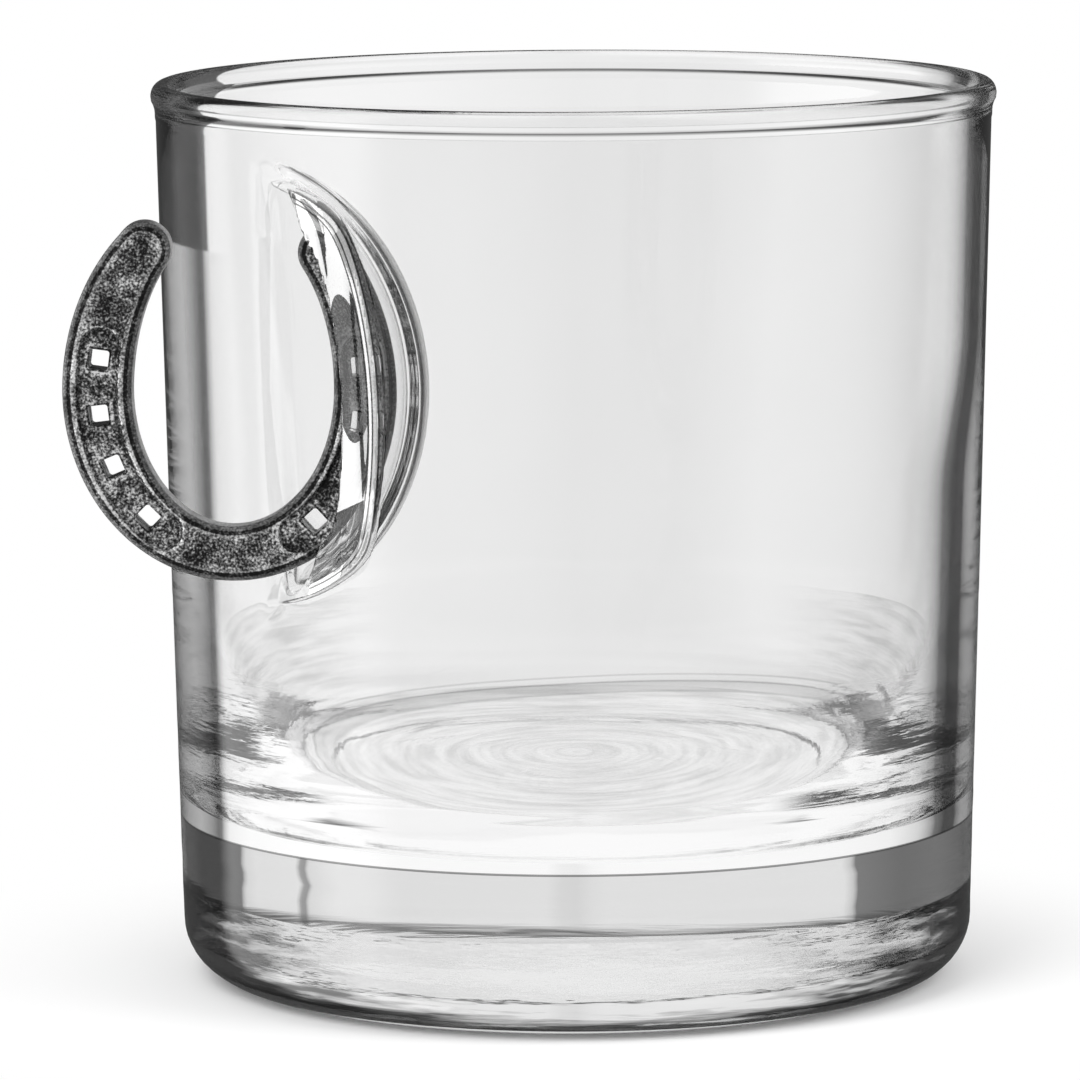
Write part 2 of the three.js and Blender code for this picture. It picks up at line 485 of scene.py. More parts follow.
def mouthField(points, right, up, forward):
    # a slanted strip runs from the lip on the wall down to the slot
    wall = wallForward(points) + lipRise(points, right, up, forward)
    least = np.full_like(wall, pocket["stripDepth"])
    depth = softMax(wall - slotFront - pocket["stripGap"], least, pocket["stripBlend"])
    edge = lipField(right, up)
    outside = smoothStep(edge, pocket["runOutFrom"], pocket["runOutEase"])
    height = wall + edge / pocket["stripWidth"] * depth + pocket["runOut"] * outside * (1 - lipFade(right, up))
    slant = np.sqrt(1 + (depth / pocket["stripWidth"]) ** 2)
    return softMax((height - forward) / slant, slotBack - forward, pocket["backBlend"])


def outerWall(points):
    return np.hypot(points[..., 0], points[..., 1]) - wallRadius(points[..., 2])


def outerField(points):
    right, up, forward = shoePlane(points)
    wall = outerWall(points) - lipBand(points, right, up, forward)
    mouth = mouthField(points, right, up, forward)
    hollow = softMin(slotField(right, up, forward), mouth, pocket["mouthBlend"])
    edgeRound = pocket["farLipRound"] + (pocket["lipRound"] - pocket["farLipRound"]) * lipFade(right, up)
    return softMax(wall, -hollow, edgeRound)


def innerField(points):
    right, up, forward = shoePlane(points)
    wall = innerRadius(points[..., 2]) - np.hypot(points[..., 0], points[..., 1])
    side = ovalField(right, up, slotHalf + pocket["endWall"], pocket["rise"] + pocket["endWall"])
    bulge = softMax(side, slotBack - pocket["backWall"] - forward, pocket["bulgeRound"])
    return softMin(wall, bulge, pocket["bulgeBlend"])


# Glass: turned rings, with a net of small cells over the pocket on the outer and the inner wall

def onCircle(angle, r, z):
    # angles run from -Y towards -X
    return np.stack([-r * np.sin(angle), -r * np.cos(angle), z + 0 * angle], -1)


def ripple(points):
    # pressing marks that run round the axis, fading out up the wall and towards the middle
    x, y, z = points[..., 0], points[..., 1], points[..., 2]
    r, turn = np.hypot(x, y), np.arctan2(y, x)
    total = 0
    for n, length in enumerate(tumbler["rippleLengths"]):
        k = 2 * math.pi / length
        wave = np.sin(k * r + (n + 1) * turn + 1.7 * n) + np.sin(k * (0.7 * r + z) - (4 - n) * turn + 0.6 * n)
        total = total + wave * length / 5
    fade = np.clip((tumbler["rippleTop"] - z) / tumbler["rippleFade"], 0, 1)
    fade = fade * np.clip(r / tumbler["rippleCore"], 0, 1) ** 2
    return total * tumbler["rippleDepth"] * fade


def underRing(points):
    # the underside is pressed in a little inside its contact ring
    ease = tumbler["ringEase"]
    step = smoothStep(-np.hypot(points[..., 0], points[..., 1]), -tumbler["ringRadius"] - ease / 2, ease)
    return ripple(points) * tumbler["ringRipple"] + tumbler["footLift"] + tumbler["ringDepth"] * step


def turnedRows(bag, line, angles, dent=None):
    # closed rows of points round the axis, one for each point of the line, bottom row first
    along = np.gradient(line, axis=0)
    rows = []
    for (r, z), (dr, dz) in zip(line, along):
        size = math.hypot(dr, dz)
        points = onCircle(angles, np.full(len(angles), r), z)
        normals = onCircle(angles, np.full(len(angles), dz / size), -dr / size)
        if dent:
            slope = gradient(dent, points)
            points = points - normals * dent(points)[:, None]
            normals = normals + slope - normals * (slope * normals).sum(-1, keepdims=True)
            normals /= np.linalg.norm(normals, axis=-1, keepdims=True)
        rows.append(addPoints(bag, points, normals))
    return rows


def closeRow(row, angles):
    return np.append(row, row[0]), np.append(angles, angles[0] + 2 * math.pi)


def pocketPatch(bag, field, radiusAt, cell):
    start, stop = math.radians(pocket["patchFrom"]), math.radians(pocket["patchTo"])
    low, high = pocket["patchLow"], pocket["patchHigh"]
    around = np.linspace(start, stop, int((stop - start) * tumbler["wallTop"] / cell) + 1)
    upright = np.linspace(low, high, int((high - low) / cell) + 1)
    depth = np.arange(-pocket["proudest"], pocket["deepest"], cell)

    def toSpace(a, z, d):
        return onCircle(a, radiusAt(z) - d, z)

    points, faces, number = surfaceNet(field, (around, upright, depth), toSpace)
    points, normals = settle(field, points)
    ids = addPoints(bag, points, normals)
    bag["faces"].extend(tuple(f) for f in ids[faces])
    surface = int(np.argmax(number[0, 0] >= 0))
    grid = ids[number[:, :, surface]]
    return grid, (around[1:] + around[:-1]) / 2, (upright[1:] + upright[:-1]) / 2


def wallBand(bag, field, radiusAt, cell, faceOut):
    # the band of wall round the patch; returns its lowest and highest closed rows with their angles
    grid, around, upright = pocketPatch(bag, field, radiusAt, cell)
    coarse = np.linspace(around[-1], around[0] + 2 * math.pi, tumbler["columns"])[1:-1]
    levels = np.linspace(upright[0], upright[-1], tumbler["levels"])
    columns = []
    for angle in coarse:
        points = onCircle(np.full(len(levels), angle), radiusAt(levels), levels)
        points, normals = settle(field, points)
        columns.append(addPoints(bag, points, normals))
    rows = [(grid[-1], upright)] + [(c, levels) for c in columns] + [(grid[0], upright)]
    for a, b in zip(rows[:-1], rows[1:]):
        pair = a + b if faceOut else b + a
        zipRows(bag, *pair)
    angles = np.concatenate([around, coarse])
    low = np.concatenate([grid[:, 0], [c[0] for c in columns]])
    high = np.concatenate([grid[:, -1], [c[-1] for c in columns]])
    return low, high, angles, upright


def glassMesh():
    bag = newBag()
    outLow, outHigh, outAngles, outLevels = wallBand(bag, outerField, wallRadius, pocket["outerCell"], True)
    print("outer wall:", bag["count"], "points")
    inLow, inHigh, inAngles, inLevels = wallBand(bag, innerField, innerRadius, pocket["innerCell"], False)
    print("inner wall:", bag["count"], "points")
    start = math.radians(pocket["patchFrom"])
    ringAngles = start + np.linspace(0, 2 * math.pi, tumbler["columns"], endpoint=False)

    height = fineLine[:, 1]
    onOutside = np.arange(len(fineLine)) <= topIndex
    rowStep, rimStep, rowGap = tumbler["rowStep"], tumbler["rimStep"], tumbler["rowGap"]
    foot = fineLine[onOutside & (height < outLevels[0] - rowGap)]
    top = np.where(onOutside, outLevels[-1], inLevels[-1])
    rim = fineLine[height > top + rimStep]
    bowl = fineLine[~onOutside & (height < inLevels[0] - rowGap)]
    footRows = turnedRows(bag, resample(foot, rowStep)[1:], ringAngles, underRing)
    rimRows = turnedRows(bag, resample(rim, rimStep), ringAngles)
    bowlRows = turnedRows(bag, resample(bowl, rowStep)[:-1], ringAngles, ripple)

    for chain in (
        [(row, ringAngles) for row in footRows] + [(outLow, outAngles)],
        [(outHigh, outAngles)] + [(row, ringAngles) for row in rimRows] + [(inHigh, inAngles)],
        [(inLow, inAngles)] + [(row, ringAngles) for row in bowlRows],
    ):
        for a, b in zip(chain[:-1], chain[1:]):
            zipRows(bag, *closeRow(*b), *closeRow(*a))
    under = addPoints(bag, np.array([[0.0, 0, tumbler["ringDepth"]]]), np.array([[0.0, 0, -1]]))[0]
    over = addPoints(bag, np.array([[0.0, 0, tumbler["floorHeight"]]]), np.array([[0.0, 0, 1]]))[0]
    for a, b in zip(footRows[0], np.roll(footRows[0], -1)):
        bag["faces"].append((under, a, b))
    for a, b in zip(bowlRows[-1], np.roll(bowlRows[-1], -1)):
        bag["faces"].append((over, b, a))
    made = bagToObject(bag, "tumbler", True)

    # where the material finds the lip; far from it the inset lies outside its ramps
    points = np.concatenate(bag["points"])
    right, up, forward = shoePlane(points)
    near = (outerWall(points) > -pocket["markDepth"]) & (right > pocket["markFrom"])
    near &= forward > slotFront - pocket["markGap"]
    storeMarks(made, {
        "lipInset": np.where(near, lipField(right, up), 9.0),
        "lipUp": up,
        "lipFade": lipFade(right, up),
        "lipFlank": np.clip(lipBand(points, right, up, forward) / pocket["flankLeast"], 0, 1),
    })
    return made


# Horseshoe

def branchPoint(side, half, drop, rise, angle):
    turn = np.radians(angle)
    reach = np.where(np.asarray(angle) < 0, drop, rise)
    return np.stack([side * half * np.cos(turn), reach * np.sin(turn)], -1)


def outerEdge(side, angle):
    return branchPoint(side, shoe["outerHalf"], shoe["toeDrop"], shoe["outerRise"], angle)


def innerEdge(side, angle):
    half, drop = shoe["outerHalf"] - shoe["branchWidth"], shoe["toeDrop"] - shoe["toeWidth"]
    return branchPoint(side, half, drop, shoe["innerRise"], angle)


middleHalf = shoe["outerHalf"] - shoe["branchWidth"] / 2
middleRise = (shoe["outerRise"] + shoe["innerRise"]) / 2


def nailPoint(side, angle):
    return branchPoint(side, middleHalf, shoe["toeDrop"] - shoe["toeWidth"] / 2, middleRise, angle)


def nailArm(side, angle):
    return nailPoint(side, angle + 0.5) - nailPoint(side, angle - 0.5)


def shoeOutline():
    def half(side):
        angles = np.linspace(-90, shoe["tipAngle"], 120)
        outer, inner = outerEdge(side, angles), innerEdge(side, angles[::-1])
        middle = (outer[-1] + inner[0]) / 2
        arm = outer[-1] - middle
        turn = side * np.linspace(0, math.pi, 40)[1:-1]
        cap = np.stack([
            middle[0] + arm[0] * np.cos(turn) - arm[1] * np.sin(turn),
            middle[1] + arm[0] * np.sin(turn) + arm[1] * np.cos(turn),
        ], -1)
        return np.concatenate([outer, cap, inner])
    return np.concatenate([half(1), half(-1)[1:-1][::-1]])


def lineDistance(points, line, closed):
    ends = np.roll(line, -1, axis=0) if closed else line[1:]
    starts = line if closed else line[:-1]
    best = np.full(len(points), np.inf)
    for a, b in zip(starts, ends):
        arm = b - a
        t = np.clip(((points - a) @ arm) / (arm @ arm), 0, 1)
        gap = points - a - t[:, None] * arm
        best = np.minimum(best, (gap ** 2).sum(-1))
    return np.sqrt(best)


def isInside(points, line):
    hit = np.zeros(len(points), bool)
    for a, b in zip(line, np.roll(line, -1, axis=0)):
        spans = (a[1] > points[:, 1]) != (b[1] > points[:, 1])
        at = a[0] + (points[:, 1] - a[1]) / (b[1] - a[1] + 1e-12) * (b[0] - a[0])
        hit ^= spans & (points[:, 0] < at)
    return hit


def planeGrid(cell, margin):
    outline = shoeOutline()
    low, high = outline.min(0) - margin, outline.max(0) + margin
    right = np.arange(low[0], high[0], cell)
    up = np.arange(low[1], high[1], cell)
    flat = np.stack(np.meshgrid(right, up, indexing="ij"), -1).reshape(-1, 2)
    edge = lineDistance(flat, outline, True) * np.where(isInside(flat, outline), -1, 1)
    return right, up, flat, edge.reshape(len(right), len(up))


def shoeMesh():
    grid, margin = shoe["grid"], shoe["margin"]
    right, up, flat, edge = planeGrid(grid, margin)
    fuller = np.full(len(flat), np.inf)
    hole = np.full(len(flat), np.inf)
    for side in (1, -1):
        line = nailPoint(side, np.linspace(shoe["fullerTop"], shoe["fullerToe"], 50))
        fuller = np.minimum(fuller, lineDistance(flat, line, False))
        for angle in shoe["nailAngles"]:
            away, arm = flat - nailPoint(side, angle), nailArm(side, angle)
            arm /= np.linalg.norm(arm)
            along, across = away @ arm, away @ np.array([-arm[1], arm[0]])
            hole = np.minimum(hole, np.maximum(np.abs(along), np.abs(across)) - shoe["nailWidth"] / 2)
    fuller = fuller.reshape(edge.shape) - shoe["fullerWidth"] / 2
    hole = hole.reshape(edge.shape)
    rim = shoe["fullerRimWidth"]
    sink = smoothStep(-fuller, -shoe["fullerStart"], shoe["fullerEase"]) * shoe["fullerDepth"]
    sink -= shoe["fullerRim"] * np.exp(-((fuller - rim) / rim) ** 2)
    sink += shoe["grooveDepth"] * np.exp(-((edge + shoe["grooveInset"]) / shoe["grooveWidth"]) ** 2)
    forward = np.arange(-shoe["thickness"] - margin, margin, grid)
    edge3, sink3 = edge[..., None], sink[..., None]
    size = math.hypot(shoe["bevelWidth"], shoe["bevelDepth"])

    def field(points):
        front = points[..., 2]
        back = -shoe["thickness"] - front
        body = softMax(edge3, softMax(front + sink3, back, shoe["faceRound"]), shoe["edgeRound"])
        for face in (front, back):
            bevel = (shoe["bevelDepth"] * (edge3 + shoe["bevelWidth"]) + shoe["bevelWidth"] * face) / size
            body = softMax(body, bevel, shoe["edgeRound"])
        return body

    def toSpace(a, b, c):
        return np.stack([a, b, c], -1)

    local, faces, _ = surfaceNet(field, (right, up, forward), toSpace)
    points = fromShoePlane(local[:, 0], local[:, 1], local[:, 2])
    bag = newBag()
    addPoints(bag, points, np.zeros_like(points))
    bag["faces"] = faces
    body = bagToObject(bag, "shoeBody", False)

    def sampled(values):
        x, y = (local[:, 0] - right[0]) / grid, (local[:, 1] - up[0]) / grid
        i, j = x.astype(int), y.astype(int)
        fx, fy = x - i, y - j
        low = values[i, j] * (1 - fx) + values[i + 1, j] * fx
        high = values[i, j + 1] * (1 - fx) + values[i + 1, j + 1] * fx
        return low * (1 - fy) + high * fy

    setIn = (lipField(local[:, 0], local[:, 1]) + shoe["setInDepth"]) / shoe["setInEase"]
    storeMarks(body, {
        "edgeInset": -sampled(edge),
        "fullerInset": -sampled(fuller),
        "holeGap": sampled(hole),
        "branchAngle": np.degrees(np.arctan2(local[:, 1] / middleRise, np.abs(local[:, 0]) / middleHalf)),
        "setIn": np.clip(setIn, 0, 1) * (local[:, 0] > 0),
    })
    return body


# Node helpers

def feed(tree, node, inputs):
    for name, value in inputs.items():
        if isinstance(value, bpy.types.NodeSocket):
            tree.links.new(value, node.inputs[name])
        else:
            node.inputs[name].default_value = value


def addNode(tree, kind, inputs=None, **settings):
    made = tree.nodes.new(kind)
    for name, value in settings.items():
        setattr(made, name, value)
    feed(tree, made, inputs or {})
    return made


def addSockets(tree, side, *sockets):
    for name, kind, *value in sockets:
        made = tree.interface.new_socket(name, in_out=side, socket_type="NodeSocket" + kind)
        if value:
            made.default_value = value[0]


def mathNode(tree, operation, *values):
    return addNode(tree, "ShaderNodeMath", dict(enumerate(values)), operation=operation).outputs[0]


def mixNode(tree, factor, a, b, blend="MIX"):
    a, b = ((v, v, v, 1) if isinstance(v, float) else v for v in (a, b))
    inputs = {"Factor": factor, "A": a, "B": b}
    return addNode(tree, "ShaderNodeMix", inputs, data_type="RGBA", blend_type=blend).outputs["Result"]


def markNode(tree, name):
    return addNode(tree, "ShaderNodeAttribute", attribute_name=name).outputs["Fac"]


def noiseNode(tree, place, scale, detail):
    inputs = {"Vector": place, "Scale": scale, "Detail": detail}
    return addNode(tree, "ShaderNodeTexNoise", inputs).outputs["Fac"]


def greyRamp(tree, stops, value, interpolation="LINEAR"):
    made = addNode(tree, "ShaderNodeValToRGB", {0: value})
    ramp = made.color_ramp
    ramp.interpolation = interpolation
    while len(ramp.elements) > 1:
        ramp.elements.remove(ramp.elements[-1])
    for n, (at, level) in enumerate(stops):
        element = ramp.elements[0] if n == 0 else ramp.elements.new(at)
        element.position = at
        element.color = (level, level, level, 1)
    return made.outputs["Color"]


# Nail holes: one rounded square pin at each nail point, cut out of the shoe

def nailTree():
    tree = bpy.data.node_groups.new("nailHoles", "GeometryNodeTree")
    addSockets(
        tree, "INPUT", ("Nail Points", "Geometry"), ("Shoe Body", "Object"), ("Hole Width", "Float", 0.002),
        ("Corner Radius", "Float", 0.0003), ("Mouth Flare", "Float", 0.1), ("Pin Length", "Float", 0.01),
        ("Metal", "Material"))
    addSockets(tree, "OUTPUT", ("Geometry", "Geometry"))
    given = addNode(tree, "NodeGroupInput").outputs
    width = given["Hole Width"]
    square = addNode(tree, "GeometryNodeCurvePrimitiveQuadrilateral", {"Width": width, "Height": width})
    fillet = addNode(tree, "GeometryNodeFilletCurve", {
        "Curve": square.outputs["Curve"], "Radius": given["Corner Radius"], "Count": 4}, mode="POLY")
    end = addNode(tree, "ShaderNodeCombineXYZ", {"Z": given["Pin Length"]})
    stem = addNode(tree, "GeometryNodeCurvePrimitiveLine", {"End": end.outputs["Vector"]})
    steps = addNode(tree, "GeometryNodeResampleCurve", {"Curve": stem.outputs["Curve"], "Count": 41})
    along = addNode(tree, "GeometryNodeSplineParameter").outputs["Factor"]
    widest = mathNode(tree, "ADD", given["Mouth Flare"], 1.0)
    widen = addNode(tree, "ShaderNodeMapRange", {
        "Value": along, "From Min": shoe["flareFrom"], "To Min": 1.0, "To Max": widest},
        interpolation_type="SMOOTHSTEP")
    pin = addNode(tree, "GeometryNodeCurveToMesh", {
        "Curve": steps.outputs["Curve"], "Profile Curve": fillet.outputs["Curve"],
        "Scale": widen.outputs["Result"], "Fill Caps": True})
    turn = addNode(tree, "GeometryNodeInputNamedAttribute", {"Name": "nailTurn"}, data_type="FLOAT_VECTOR")
    spread = addNode(tree, "GeometryNodeInstanceOnPoints", {
        "Points": given["Nail Points"], "Instance": pin.outputs["Mesh"], "Rotation": turn.outputs["Attribute"]})
    last = addNode(tree, "GeometryNodeRealizeInstances", {"Geometry": spread.outputs["Instances"]})
    # the holes' walls get marks of their own, so the metal's ramps paint them darker as shade
    marks = {"edgeInset": 2.2, "fullerInset": 0.4, "holeGap": 0.1, "branchAngle": -90.0, "setIn": 0.0}
    for name, value in marks.items():
        inputs = {"Geometry": last.outputs["Geometry"], "Name": name, "Value": value}
        last = addNode(tree, "GeometryNodeStoreNamedAttribute", inputs, data_type="FLOAT", domain="POINT")
    body = addNode(tree, "GeometryNodeObjectInfo", {"Object": given["Shoe Body"]})
    cut = addNode(tree, "GeometryNodeMeshBoolean", {
        "Mesh 1": body.outputs["Geometry"], "Mesh 2": last.outputs["Geometry"]},
        operation="DIFFERENCE", solver="EXACT")
    weld = addNode(tree, "GeometryNodeMergeByDistance", {
        "Geometry": cut.outputs["Mesh"], "Distance": shoe["weld"] * mm})
    whole = addNode(tree, "GeometryNodeRealizeInstances", {"Geometry": weld.outputs["Geometry"]})
    finish = addNode(tree, "GeometryNodeSetMaterial", {
        "Geometry": whole.outputs["Geometry"], "Material": given["Metal"]})
    addNode(tree, "NodeGroupOutput", {"Geometry": finish.outputs["Geometry"]})
    return tree, {item.name: item.identifier for item in tree.interface.items_tree if item.in_out == "INPUT"}


def shoeWithHoles(metal):
    body = shoeMesh()
    reach = shoe["pinReach"]
    length = shoe["thickness"] + 2 * reach
    angles = np.array(shoe["nailAngles"])
    places, turns = [], []
    for side in (1, -1):
        at, ahead = nailPoint(side, angles), nailArm(side, angles)
        places.append(fromShoePlane(at[:, 0], at[:, 1], np.full(len(at), reach - length)))
        direction = np.arctan2(ahead[:, 1], ahead[:, 0]) - lean
        turns.append(np.stack([np.full(len(at), math.pi / 2), -direction, np.zeros(len(at))], -1))
    mesh = bpy.data.meshes.new("nailPoints")
    mesh.from_pydata((np.concatenate(places) * mm).tolist(), [], [])
    mark = mesh.attributes.new("nailTurn", "FLOAT_VECTOR", "POINT")
    mark.data.foreach_set("vector", np.concatenate(turns).astype(np.float32).ravel())
    points = linkObject("nailPoints", mesh)
    tree, ids = nailTree()
    cutter = points.modifiers.new("nailHoles", "NODES")
    cutter.node_group = tree
    for name, value in (
        ("Shoe Body", body),
        ("Hole Width", shoe["nailWidth"] * mm),
        ("Corner Radius", shoe["nailCorner"] * mm),
        ("Mouth Flare", shoe["nailFlare"]),
        ("Pin Length", length * mm),
        ("Metal", metal),
    ):
        cutter[ids[name]] = value
    depsgraph = bpy.context.evaluated_depsgraph_get()
    mesh = bpy.data.meshes.new_from_object(points.evaluated_get(depsgraph), depsgraph=depsgraph)
    mesh.name = "horseshoeCasting"
    made = linkObject("horseshoeCasting", mesh)
    points.modifiers.clear()
    for helper in (points, body):
        bpy.data.objects.remove(helper)
    smoothFaces(mesh)
    mesh.set_sharp_from_angle(angle=math.radians(shoe["sharpAngle"]))
    return made


# Adhesive: fills the slot round the set-in branch, wets glass and metal, and creeps under the lip at mid height

bond = {
    "overlap": 0.04,
    "recess": 0.55,
    "lipGap": 0.3,
    "lipBlend": 0.6,
    "creep": 2.4,
    "creepFrom": -4.5,
    "creepTo": 9.6,
    "creepEase": 1.6,
    "wallGap": 0.3,
    "wallBlend": 0.3,
    "shoeBlend": 0.25,
    "leftEnd": 3.0,
    "margin": 0.6,
    "grid": 0.16,
}


def bondMesh():
    cell, margin = bond["grid"], bond["margin"]
    right = np.arange(bond["leftEnd"], slotHalf + margin, cell)
    up = np.arange(-pocket["rise"] - margin, pocket["rise"] + margin, cell)
    forward = np.arange(slotBack - margin, slotFront + margin, cell)

    def field(points):
        u, v, w = shoePlane(points)
        drop = np.where(v < 0, shoe["toeDrop"], shoe["outerRise"])
        edge = ovalField(u, v, shoe["outerHalf"], drop)
        half = shoe["thickness"] / 2
        solid = softMax(edge, np.abs(w + half) - half, shoe["faceRound"])
        body = softMax(slotField(u, v, w) - bond["overlap"], -bond["recess"] - solid, bond["shoeBlend"])
        ease = smoothStep(np.minimum(v - bond["creepFrom"], bond["creepTo"] - v), 0, bond["creepEase"])
        start = bond["lipGap"] - (bond["lipGap"] + bond["creep"]) * ease
        body = softMax(body, start - lipField(u, v), bond["lipBlend"])
        for limit in (outerWall(points), -mouthField(points, u, v, w)):
            body = softMax(body, limit + bond["wallGap"], bond["wallBlend"])
        return body

    points, faces, _ = surfaceNet(field, (right, up, forward), fromShoePlane)
    points, normals = settle(field, points, 3)
    bag = newBag()
    addPoints(bag, points, normals)
    bag["faces"] = faces
    return bagToObject(bag, "clearBond", True)


# Materials

def newMaterial(name):
    made = bpy.data.materials.new(name)
    made.use_nodes = True
    return made, made.node_tree, made.node_tree.nodes["Principled BSDF"]


patinaAndPaintedLight = {
    "speckleScale": 4200.0,
    "speckleStrength": 2.6,
    "blotchScale": 420.0,
    "blotchStrength": 1.5,
    "edgeSpan": 3.0,
    "edge": ((0.0, 0.72), (0.03, 0.58), (0.08, 0.47), (0.135, 0.43), (0.16, 0.1), (0.25, 0.1), (0.285, 0.66),
             (0.35, 0.62), (0.45, 0.45), (1.0, 0.43)),
    "grain": ((0.0, 0.3), (0.12, 0.35), (0.17, 0.8), (0.26, 0.7), (0.3, 0.6), (0.4, 0.9), (1.0, 1.0)),
    "fullerSpan": 4.0,
    "fuller": ((0.0, 0.5), (0.36, 0.5), (0.42, 0.66), (0.47, 0.74), (0.51, 0.4), (0.58, 0.34), (0.7, 0.52),
               (1.0, 0.56)),
    "holeSpan": 2.0,
    "hole": ((0.0, 0.3), (0.07, 0.34), (0.11, 0.74), (0.2, 0.68), (0.34, 0.5), (1.0, 0.5)),
    "greys": ((0.0, 0.006), (0.25, 0.024), (0.5, 0.1), (0.75, 0.29), (1.0, 0.62)),
    "setInPaintedLight": 0.2,
    "roughDark": 0.55,
    "roughBright": 0.32,
    "metallic": 0.9,
    "ridgeTurn": 1.45,
    "ridgeFrom": -6.0,
    "ridgeTo": 4.5,
    "ridgeInset": 0.35,
    "ridgeStrength": 0.5,
    "reliefStrength": 0.55,
    "reliefDepth": 0.00012,
}


def metalMaterial():
    made, tree, surface = newMaterial("antiquedMetal")
    maths, mark = partial(mathNode, tree), partial(markNode, tree)
    place = addNode(tree, "ShaderNodeTexCoord").outputs["Object"]

    def level(name, value):
        return greyRamp(tree, patinaAndPaintedLight[name], value)

    speckle = noiseNode(tree, place, patinaAndPaintedLight["speckleScale"], 3.0)
    blotch = noiseNode(tree, place, patinaAndPaintedLight["blotchScale"], 2.0)
    inset = maths("MULTIPLY", mark("edgeInset"), 1 / patinaAndPaintedLight["edgeSpan"])
    grain = maths("MULTIPLY_ADD", speckle, patinaAndPaintedLight["speckleStrength"], -0.5 * patinaAndPaintedLight["speckleStrength"])
    grain = maths("MULTIPLY_ADD", blotch, patinaAndPaintedLight["blotchStrength"], grain)
    grain = maths("MULTIPLY", maths("ADD", grain, -0.5 * patinaAndPaintedLight["blotchStrength"]), level("grain", inset))
    # the edge ramp lays a bright line along the very edge, part worn metal and part painted highlight, then a darker
    # line along the groove and a lighter line past it
    shade = maths("ADD", grain, level("edge", inset))
    # painted highlight on the fuller's raised rim and painted shade just inside it
    fullerIn = mark("fullerInset")
    shade = maths("ADD", shade, level("fuller", maths("MULTIPLY_ADD", fullerIn, 1 / patinaAndPaintedLight["fullerSpan"], 0.5)))
    # painted shade on the hole walls, with a painted light frame round each hole
    shade = maths("ADD", shade, level("hole", maths("MULTIPLY", mark("holeGap"), 1 / patinaAndPaintedLight["holeSpan"])))
    # painted light: where the branch sits under the glass and bond, the metal is lifted brighter
    shade = maths("ADD", shade, maths("MULTIPLY_ADD", mark("setIn"), patinaAndPaintedLight["setInPaintedLight"], -1.0))
    rough = addNode(tree, "ShaderNodeMapRange", {
        "Value": shade, "To Min": patinaAndPaintedLight["roughDark"], "To Max": patinaAndPaintedLight["roughBright"]})
    # fine cross ridges between the two upper holes
    turn = mark("branchAngle")
    ridge = maths("SINE", maths("MULTIPLY", turn, 2 * math.pi / patinaAndPaintedLight["ridgeTurn"]))
    above, below = maths("GREATER_THAN", turn, patinaAndPaintedLight["ridgeFrom"]), maths("LESS_THAN", turn, patinaAndPaintedLight["ridgeTo"])
    between = maths("MULTIPLY", maths("MULTIPLY", above, below), maths("GREATER_THAN", fullerIn, patinaAndPaintedLight["ridgeInset"]))
    relief = maths("MULTIPLY_ADD", maths("MULTIPLY", ridge, between), patinaAndPaintedLight["ridgeStrength"], speckle)
    bump = addNode(tree, "ShaderNodeBump", {
        "Height": relief, "Strength": patinaAndPaintedLight["reliefStrength"], "Distance": patinaAndPaintedLight["reliefDepth"]})
    feed(tree, surface, {
        "Base Color": level("greys", shade),
        "Roughness": rough.outputs["Result"],
        "Metallic": patinaAndPaintedLight["metallic"],
        "Normal": bump.outputs["Normal"],
    })
    return made


